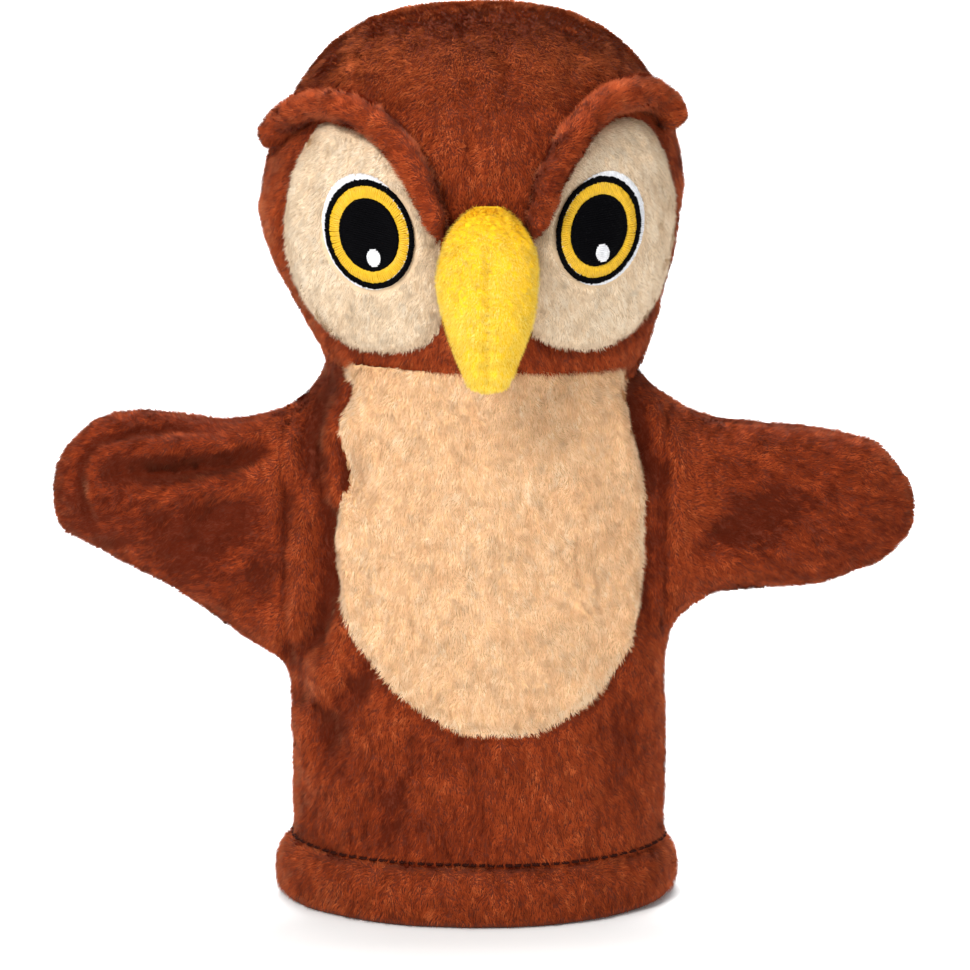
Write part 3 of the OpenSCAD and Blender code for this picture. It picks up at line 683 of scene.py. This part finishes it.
rows_t = np.concatenate([np.linspace(0, 0.9, 130, endpoint=False),
                         0.9 + 0.1 * np.sin(np.linspace(0, math.pi / 2, 34))])
al = circle(300)
rx, ry, cx = soft_rows(rows_t)
pz = HZ + rows_t * (HTOP - HZ)
gx = cx[:, None] + rx[:, None] * np.sin(al)
gy = HY - ry[:, None] * np.cos(al)
g = np.stack([gx, gy, np.broadcast_to(pz[:, None], gx.shape)], -1)
under = []
for s, dz in [(0.36, 1.6), (0.5, 1.4), (0.7, 0.9), (0.85, 0.1), (0.94, -0.9), (0.985, -1.2)]:
    u = g[0].copy()
    u[:, 0] = HX + (u[:, 0] - HX) * s
    u[:, 1] = HY + (u[:, 1] - HY) * s
    u[:, 2] = HZ + dz
    under.append(u)
g = np.concatenate([np.array(under), g])
hv, hf = sheet_of(g, ring=True)
hn = normals(hv, hf)
fr = hv[:, 1] < HY + 4
dR = np.where(fr, inside(hv[:, [0, 2]], PATCH_R), 99)
dL = np.where(fr, inside(hv[:, [0, 2]], PATCH_L), 99)
dd = np.minimum(dR, dL)
disp = np.where(dd < 90, 0.9 * (1 - smooth(dd, -5, -0.5)) - 1.2 * np.exp(-((dd / 1.4) ** 2)), 0)
calm = 1 - smooth(-dd, -2, 2)
disp += calm * (0.8 * noise(hv, 24, 5) + 0.35 * noise(hv, 9, 6))
# creases and the back seam: the line, x and z, how deep, how wide, and -1 for the front or 1 for the back
HEAD_LINES = [([(0, 236), (4, 232), (6, 226)], 0.9, 2.6, -1), ([(-6, 241), (-4, 226), (-3, 206)], 0.6, 2, -1),
              ([(-2.4, 150), (-2.4, 238)], 0.9, 1.6, 1), ([(-30, 158), (-22, 165)], 0.8, 4, 1),
              ([(28, 156), (20, 164)], 0.8, 4, 1)]
for line, deep, wide, face in HEAD_LINES:
    r = line_dist(hv[:, [0, 2]], line)[0]
    sidew = smooth((hv[:, 1] - HY) * face, 2, 10)
    disp -= sidew * deep * np.exp(-((r / wide) ** 2))
SIDE_SEAM = HY + 1.5
disp -= 0.9 * (np.exp(-(((hv[:, 1] - HY - 1.5) / 1.5) ** 2)) * smooth(hv[:, 2], HZ + 4, HZ + 12))
# painted light and shade on the head's pile: painted shade in its dents and seams and a painted highlight on its
# swells, a little paler above the eyes, and painted light over the crown
head_painted_shading = (0.15 + 0.6 * np.clip(disp, -3, 1) + 0.25 * smooth(hv[:, 2], 190, 205)
             + 1.3 * smooth(hv[:, 2], HTOP - 28, HTOP - 8))
hv = hv + hn * disp[:, None]
hv = relax(hv, hf, 2, 0.3)
hn = normals(hv, hf)
hm = hv[hf].mean(1)
labR, labL = dR[hf].mean(1) < 0, dL[hf].mean(1) < 0
lab = np.full(len(hf), "right_head_back", object)
lab[(hm[:, 1] > SIDE_SEAM) & (hm[:, 0] > HX)] = "left_head_back"
lab[(hm[:, 1] <= SIDE_SEAM) & (hm[:, 0] <= HX)] = "right_face"
lab[(hm[:, 1] <= SIDE_SEAM) & (hm[:, 0] > HX)] = "left_face"
lab[labR] = "right_eye_patch"
lab[labL] = "left_eye_patch"

def head_nap(p):
    """The head's pile lies downward, and away from the seam over the top."""
    out = np.stack([0.5 * (p[:, 0] - HX) / HRX, 0 * p[:, 0], -np.ones(len(p))], 1)
    top = smooth(p[:, 2], HTOP - 30, HTOP)
    out[:, 1] += 1.1 * top * np.where(p[:, 1] < HY, -0.6, 1)
    out[:, 0] += 0.5 * top * noise(p, 15, 41)
    return out

# each eye's x and z, half width and half height, and lean in degrees
EYES = {"right": (-30.0, 185.3, 11.7, 14.6, 13), "left": (30.0, 186.2, 11.2, 14.3, -11)}
def eye_mask(p):
    """No fibres under the embroidery."""
    keep = np.ones(len(p))
    for x, z, w, h, lean in EYES.values():
        c, s = math.cos(math.radians(lean)), math.sin(math.radians(lean))
        u, q = p[:, 0] - x, p[:, 2] - z
        r = np.hypot((u * c + q * s) / (w + 0.9), (-u * s + q * c) / (h + 0.9))
        keep *= smooth(r, 1.0, 1.06)
    return keep

head_parts = {}
for name in ("right_head_back", "left_head_back", "right_face", "left_face", "right_eye_patch",
             "left_eye_patch"):
    v, f, used = part_of(hv, hf, lab == name)
    n = hn[used]
    beige = "patch" in name
    o = add(name + "_cloth", v, f, [CREAM_CLOTH if beige else BROWN_CLOTH], "head", nrm=n)
    h = pile(name + "_pile", v, f, n, CREAM if beige else BROWN, DENSE, 1.4 if beige else LENGTH, head_nap,
             mask=eye_mask if beige else (lambda p: smooth(p[:, 2], HZ - 0.6, HZ + 0.6)),
             tone=head_painted_shading[used],
             twice=None if beige else (lambda p: p[:, 2] > HTOP - 26))
    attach(h, "head")
    head_parts[name] = (o, h)

# -------------------- finger sleeve: a knitted tube, closed at its top
S0, S1 = mm_box("finger_sleeve")
SX, SY = (S0[0] + S1[0]) / 2, (S0[1] + S1[1]) / 2
sz0, sz1 = S0[2] - LONG, S1[2] - LONG
# out from its middle, and height
sleeve = [(0.3, sz1 - 0.4), (5, sz1 - 0.5), (9.5, sz1 - 1.4), (12, sz1 - 4), (12.7, sz1 - 9), (12.7, sz0 + 8),
          (12.8, sz0 + 3), (12.9, sz0 + 1.2), (12.4, sz0 + 0.3), (11.8, sz0 + 0.4), (11.35, sz0 + 1.4),
          (11.3, sz0 + 8), (11.3, sz1 - 9), (10.8, sz1 - 5), (8.6, sz1 - 2.7), (4.5, sz1 - 2), (0.3, sz1 - 1.9)]
u = np.linspace(0, len(sleeve) - 1, 150)
sr, sz = (np.interp(u, np.arange(len(sleeve)), [q[c] for q in sleeve])[:, None] for c in (0, 1))
a = circle(128)
g = np.stack([SX + sr * np.sin(a), SY - sr * np.cos(a), np.broadcast_to(sz, (150, 128))], -1)
v, f = sheet_of(g, ring=True)
n = normals(v, f)
puff = np.where(np.hypot(v[:, 0] - SX, v[:, 1] - SY) > 12, 0.35 * noise(v * [1, 1, 0.5], 6, 71) - 0.25, 0)
v = v + n * puff[:, None] * np.sign(((v - [SX, SY, 0]) * n)[:, :2].sum(1, keepdims=True) + 1e-9)
tube = add("finger_sleeve_knit", v, f, [LINING], "neck")
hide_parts("finger_sleeve")
st = []
for a0 in circle(26):
    b = a0 + np.linspace(0, 0.15, 5)
    st.append((np.stack([SX + 12.95 * np.sin(b), SY - 12.95 * np.cos(b), np.full(5, sz0 + 3.2)], 1),
               np.stack([np.sin(b), -np.cos(b), 0 * b], 1)))
tube_seam = threads("finger_sleeve_stitches", st, 0.6, DARK_THREAD, "neck", lift=0.4)

# -------------------- eyes: satin stitches over the patches
SKEW = 0.05  # how far a satin stitch leans round its ring
def oval(x, z, w, h, lean, r, a):
    c, s = math.cos(math.radians(lean)), math.sin(math.radians(lean))
    u, q = r * w * np.cos(a), r * h * np.sin(a)
    return x + u * c - q * s, z + u * s + q * c

def satin_ring(name, eye, r0, r1, d, mat, count, shift=(0, 0), grow=(1, 1), lift=0.3):
    x, z, w, h, lean = eye
    st = []
    for k in range(count):
        a = 2 * math.pi * (k + 0.25 * RNG.random()) / count
        r = np.linspace(r0, r1, 5) * (1 + RNG.normal(0, 0.006))
        px, pz_ = oval(x + shift[0], z + shift[1], w * grow[0], h * grow[1], lean, r, a + SKEW * (r - r0))
        st.append(face_pt(px, pz_, d))
    width = 2 * math.pi * math.sqrt((w * w + h * h) / 2) * r1 / count * 1.25
    return threads(name, st, width, mat, "head", lift=lift)

def satin_fill(name, eye, r, d, mat, rows, lift=0.3):
    """Straight stitches side by side over an oval."""
    x, z, w, h, lean = eye
    st, step = [], 2 * r * h / rows
    for k in range(rows):
        q = -r * h + (k + 0.5) * step
        half = r * w * math.sqrt(max(1 - (q / (r * h)) ** 2, 0)) * (1 + RNG.normal(0, 0.012))
        if half < 0.35:
            continue
        u = np.linspace(-half, half, 9)
        c, s = math.cos(math.radians(lean)), math.sin(math.radians(lean))
        st.append(face_pt(x + u * c - q * s, z + u * s + q * c, d))
    return threads(name, st, step * 1.3, mat, "head", lift=lift)

def disc(name, eye, r, d, mat, shift=(0, 0), grow=(1, 1)):
    """The ground under an oval of stitches, its edge turned down to the patch."""
    x, z, w, h, lean = eye
    a = circle(72)
    rr = np.array([0.02, 0.25, 0.5, 0.75, 0.93, 1.0, 1.0])
    hh = np.array([0, 0, 0, 0, -0.03, -0.2, -1.3]) + d
    rings = []
    for q, e in zip(rr, hh):
        px, pz_ = oval(x + shift[0], z + shift[1], w * grow[0], h * grow[1], lean, r * q, a)
        rings.append(face_pt(px, pz_, e)[0])
    v, f = sheet_of(np.array(rings)[::-1], ring=True)
    n = normals(v, f)
    if n[:, 1].sum() > 0:
        f = f[:, ::-1]
    return add(name, v, f, [mat], "head")

base = 1.15  # how far the embroidery stands off the face
for side, eye in EYES.items():
    sh, grow = ((-0.8, 0.55), (0.98, 1.06)) if side == "right" else ((1.0, 0.3), (0.99, 1.06))
    glint = (eye[0] + (1.2 if side == "right" else 1.0), eye[1] - 6.0, 1.8, 2.3, 6)
    cl = [disc(side + "_eye_ground", eye, 1.0, base + 0.25, WHITE_THREAD, sh, grow),
          satin_ring(side + "_eye_backing", eye, 0.86, 1.0, base + 0.25, WHITE_THREAD, 150, sh, grow),
          disc(side + "_eye_black", eye, 1.0, base + 0.5, BLACK_THREAD),
          satin_ring(side + "_eye_rim", eye, 0.885, 1.0, base + 0.5, BLACK_THREAD, 150, lift=0.5),
          satin_ring(side + "_eye_yellow", eye, 0.665, 0.885, base + 0.5, YELLOW_THREAD, 120, lift=0.5),
          satin_ring(side + "_eye_edge", eye, 0.6, 0.665, base + 0.55, BLACK_THREAD, 120, lift=0.35),
          satin_fill(side + "_eye_pupil", eye, 0.63, base + 0.6, BLACK_THREAD, 40, lift=0.35),
          disc(side + "_eye_glint_ground", glint, 1.0, base + 1.05, WHITE_THREAD),
          satin_fill(side + "_eye_glint", glint, 1.0, base + 1.05, WHITE_THREAD, 9, lift=0.3)]
    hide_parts(side + "_eye_white")
    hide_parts(side + "_eye_outline")
    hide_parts(side + "_iris")
    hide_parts(side + "_pupil")
    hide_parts(side + "_glint")

# -------------------- beak
# the share of the way down, half width, and where its back and front are, as shares of its depth
BEAK = [(0, 3.4, 0, 0.12), (0.03, 5.6, 0, 0.3), (0.08, 8.2, 0, 0.47), (0.16, 10.8, 0, 0.66),
        (0.28, 12.6, 0, 0.82), (0.4, 13, 0, 0.92), (0.52, 12.4, 0.02, 0.99), (0.64, 11.2, 0.05, 1.02),
        (0.76, 9.2, 0.14, 1.01), (0.87, 7.2, 0.28, 0.97), (0.95, 5.5, 0.4, 0.9), (0.985, 4, 0.5, 0.84),
        (1, 1.4, 0.6, 0.76)]
BEAK_COLS = 110
bk = mm_box("beak_left")
BTOP, BOT, BXC = bk[1][2] + 1.1 - LONG, bk[0][2] + 2.0 - LONG, 1.0
BFRONT, BBACK = bk[0][1] + 0.6, bk[1][1]
u = np.concatenate([[0], 1 - np.cos(np.linspace(0.12, math.pi / 2, 60))])
u = np.unique(np.concatenate([u * 0.5, 1 - u * 0.5]))
a = circle(BEAK_COLS)
w, b0, b1 = (table(BEAK, u, c) for c in (1, 2, 3))
out = BBACK - BFRONT
yc, yd = BBACK - (b0 + b1) / 2 * out, (b1 - b0) / 2 * out
sx, cy = np.sin(a), np.cos(a)
gx = BXC + w[:, None] * np.sign(sx) * np.abs(sx) ** 0.92
gy = yc[:, None] - yd[:, None] * np.sign(cy) * np.abs(cy) ** 0.92
gz = (BTOP - u * (BTOP - BOT))[:, None] + 0 * gx
g = np.stack([gx, gy, gz], -1)[::-1]
bv, bf = sheet_of(g, ring=True)
bf, bn = outward(bv, bf, normals(bv, bf), bv.mean(0))
fx = bv[:, 0] - BXC
fw = smooth(-(bv[:, 1] - np.repeat(yc[::-1], BEAK_COLS)), -1, 3)
PUCKER = 4.3  # from one pucker of the seam to the next
pucker = np.sin(bv[:, 2] * 2 * math.pi / PUCKER + 0.8 * noise(bv, 9, 51))
disp = (-1.0 * fw * np.exp(-((fx / 1.1) ** 2)) * smooth(bv[:, 2], BOT, BOT + 6)
        * (1 - smooth(bv[:, 2], BTOP - 12, BTOP - 5)))
disp += 0.33 * fw * pucker * np.exp(-((fx / 3.6) ** 2)) * (1 - smooth(bv[:, 2], BTOP - 16, BTOP - 8))
disp += 0.3 * noise(bv, 8, 52)
bv = bv + bn * disp[:, None]
bv = relax(bv, bf, 2, 0.3)
bn = normals(bv, bf)
right = bv[bf].mean(1)[:, 0] < BXC
for name, keep in (("beak_right_side", right), ("beak_left_side", ~right)):
    v, f, used = part_of(bv, bf, keep)
    o = add(name, v, f, [YELLOW_CLOTH], "head", nrm=bn[used])
    h = pile(name + "_pile", v, f, bn[used], YELLOW, 11, 1.15, downward, clump=0.45,
             tone=0.5 - 1.0 * smooth(v[:, 2], BTOP - 7, BTOP))
    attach(h, "head")
st = []
for z in np.arange(BOT + 7, BTOP - 13, 2.15):
    i = int(np.argmin(np.abs(bv[:, 2] - z) + 3 * np.abs(fx) + 50 * (fw < 0.5)))
    x = np.linspace(-0.75, 0.75, 5)
    st.append((np.stack([BXC + x, bv[i][1] - 0.1 + 0 * x, z + 0.15 * x], 1), np.tile([0, -1.0, 0], (5, 1))))
seam = threads("beak_seam_stitches", st, 0.45, YELLOW_THREAD, "head", lift=0.3)

# -------------------- brows
# along each roll: x, z, half its thickness along the face and half of it outward
BROWS = {"right": [(-10.6, 185.5, 2.2, 2.6), (-13.8, 194.5, 3.2, 3.4), (-18.4, 203.6, 3.8, 3.9),
                   (-24.4, 211.2, 4, 4.1), (-31.5, 215.8, 3.9, 4.2), (-38.8, 217.2, 3.8, 4.2),
                   (-46, 215.9, 3.8, 4.2), (-52, 211.4, 3.8, 4.2), (-56.4, 205.6, 3.7, 3.8)],
         "left": [(12.2, 185, 2.2, 2.6), (14.6, 194.4, 3.2, 3.4), (18.4, 203.4, 3.8, 3.9), (24, 212.2, 4, 4.1),
                  (30.8, 218, 3.9, 4.2), (37.6, 220, 3.9, 4.3), (43, 219, 3.9, 4.3), (46.8, 215.2, 3.9, 4.3),
                  (48.4, 210, 3.8, 4)]}

BROW_ROWS, BROW_COLS = 90, 40
def spline(p, n):
    """n points on a smooth curve through the rows of p."""
    p = np.array(p, float)
    s = np.linspace(0, len(p) - 1, n)
    return np.stack([table(np.stack([np.arange(len(p)), p[:, c]], 1), s, 1) for c in range(p.shape[1])], 1)

brow_parts = {}
for side, path in BROWS.items():
    q = spline(path, BROW_ROWS)
    pts, out = face_pt(q[:, 0], q[:, 1], 1.2)
    t01 = np.linspace(0, 1, BROW_ROWS)
    far = smooth(np.abs(q[:, 0] - HX), 44, 58)
    pts[:, 0] = q[:, 0]
    pts[:, 1] = pts[:, 1] * (1 - far) + (HY - 10 - 5 * (1 - t01)) * far
    pts = pts + out * (q[:, 3:4] * 0.55)
    t = np.gradient(pts, axis=0)
    t /= np.linalg.norm(t, axis=1, keepdims=True)
    out = out - (out * t).sum(1, keepdims=True) * t
    out /= np.linalg.norm(out, axis=1, keepdims=True)
    s = np.cross(t, out)
    a = circle(BROW_COLS)
    cap = np.sqrt(1 - np.clip((t01 - 0.93) / 0.07, 0, 1) ** 2) * np.sqrt(np.clip(t01 / 0.05, 0, 1))
    cap = np.maximum(cap, 0.05)[:, None, None]
    g = pts[:, None] + cap * (out[:, None] * (q[:, 3] * 1.05)[:, None, None] * np.cos(a)[None, :, None]
                              + s[:, None] * (q[:, 2])[:, None, None] * np.sin(a)[None, :, None])
    v, f = sheet_of(g, ring=True)
    f, n = outward(v, f, normals(v, f), np.repeat(pts, BROW_COLS, 0))
    v = v + n * (0.4 * noise(v, 7, 61) + 0.3 * noise(v, 3.5, 62))[:, None]
    n = normals(v, f)
    o = add(side + "_brow_roll", v, f, [BROWN_CLOTH], "head", nrm=n)
    h = pile(side + "_brow_pile", v, f, n, BROWN, 10, LENGTH,
             lambda p: np.stack([np.sign(p[:, 0]) * 0.8, 0 * p[:, 0], 0.1 + 0 * p[:, 0]], 1))
    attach(h, "head")
    brow_parts[side] = (o, h)

# -------------------- what stands for what
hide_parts("body_front")
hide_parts("body_back")
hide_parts("belly_patch")
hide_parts("hem_band")
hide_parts("hem_thread")
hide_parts("collar_front", "collar_back")
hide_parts("throat_patch")
for side in ("right", "left"):
    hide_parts(side + "_wing_root")
    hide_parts(side + "_wing_front", side + "_wing_back")
for n, (o, h) in head_parts.items():
    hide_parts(n)
for side, (o, h) in brow_parts.items():
    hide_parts(side + "_brow")
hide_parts("beak_right")
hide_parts("beak_left")
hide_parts("beak_seam")
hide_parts("head_stuffing")
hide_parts("beak_stuffing")

# -------------------- stage, light, camera
# the floor's section, y and z: flat, then a bend of radius BEND that starts at BEND_Y, then a wall
BEND, BEND_Y = 1.2, 0.9
ys = [(BEND_Y + BEND * math.sin(t), BEND - BEND * math.cos(t)) for t in np.linspace(0.05, 1.45, 24)]
ys = [(-6, 0), (BEND_Y, 0)] + ys + [(2.15, 5)]
floor_me = bpy.data.meshes.new("floor")
floor_me.from_pydata([(x, y, z) for y, z in ys for x in (-8, 8)], [],
                     [(2 * i, 2 * i + 1, 2 * i + 3, 2 * i + 2) for i in range(len(ys) - 1)])
floor_me.polygons.foreach_set("use_smooth", [True] * len(floor_me.polygons))
floor = bpy.data.objects.new("floor", floor_me)
bpy.context.scene.collection.objects.link(floor)
floor.location.z = -0.0002
floor_me.materials.append(cloth("floor", (0.88, 0.88, 0.88), sheen=0, rough=0.9))

world = bpy.data.worlds.new("world")
bpy.context.scene.world = world
world.use_nodes = True
world.node_tree.nodes["Background"].inputs["Color"].default_value = (1, 1, 1, 1)
world.node_tree.nodes["Background"].inputs["Strength"].default_value = 0.42
bpy.context.scene.view_settings.view_transform = "Standard"

def lamp(name, at, to, size, watts, colour=(1, 1, 1)):
    """A square soft light, size wide, in metres."""
    d = bpy.data.lights.new(name, "AREA")
    d.size, d.energy, d.color = size, watts, colour
    o = bpy.data.objects.new(name, d)
    bpy.context.scene.collection.objects.link(o)
    o.location = at
    o.rotation_euler = (Vector(to) - Vector(at)).to_track_quat("-Z", "Y").to_euler()

lamp("key", (-0.55, -0.95, 0.9), (0, 0, 0.13), 0.4, 19, (1, 0.98, 0.96))
lamp("fill", (0.9, -0.8, 0.5), (0, 0, 0.12), 0.8, 3.5)
lamp("top", (0.1, 0.4, 1.1), (0, 0, 0.12), 0.7, 7)
lamp("backdrop", (0, 0.55, 1.3), (0, 1.9, 0.3), 1.2, 60)

cam_d = bpy.data.cameras.new("camera")
cam = bpy.data.objects.new("camera", cam_d)
bpy.context.scene.collection.objects.link(cam)
bpy.context.scene.camera = cam
CAMERA_AT, CAMERA_TO, LENS = Vector((0.0002, -0.89, 0.28)), Vector((0.0002, 0, 0.1166)), 123.0
cam_d.sensor_width, cam_d.lens = 36, LENS
cam_d.clip_start, cam_d.clip_end = 0.05, 20
cam.location = CAMERA_AT
cam.rotation_euler = (CAMERA_TO - CAMERA_AT).to_track_quat("-Z", "Y").to_euler()
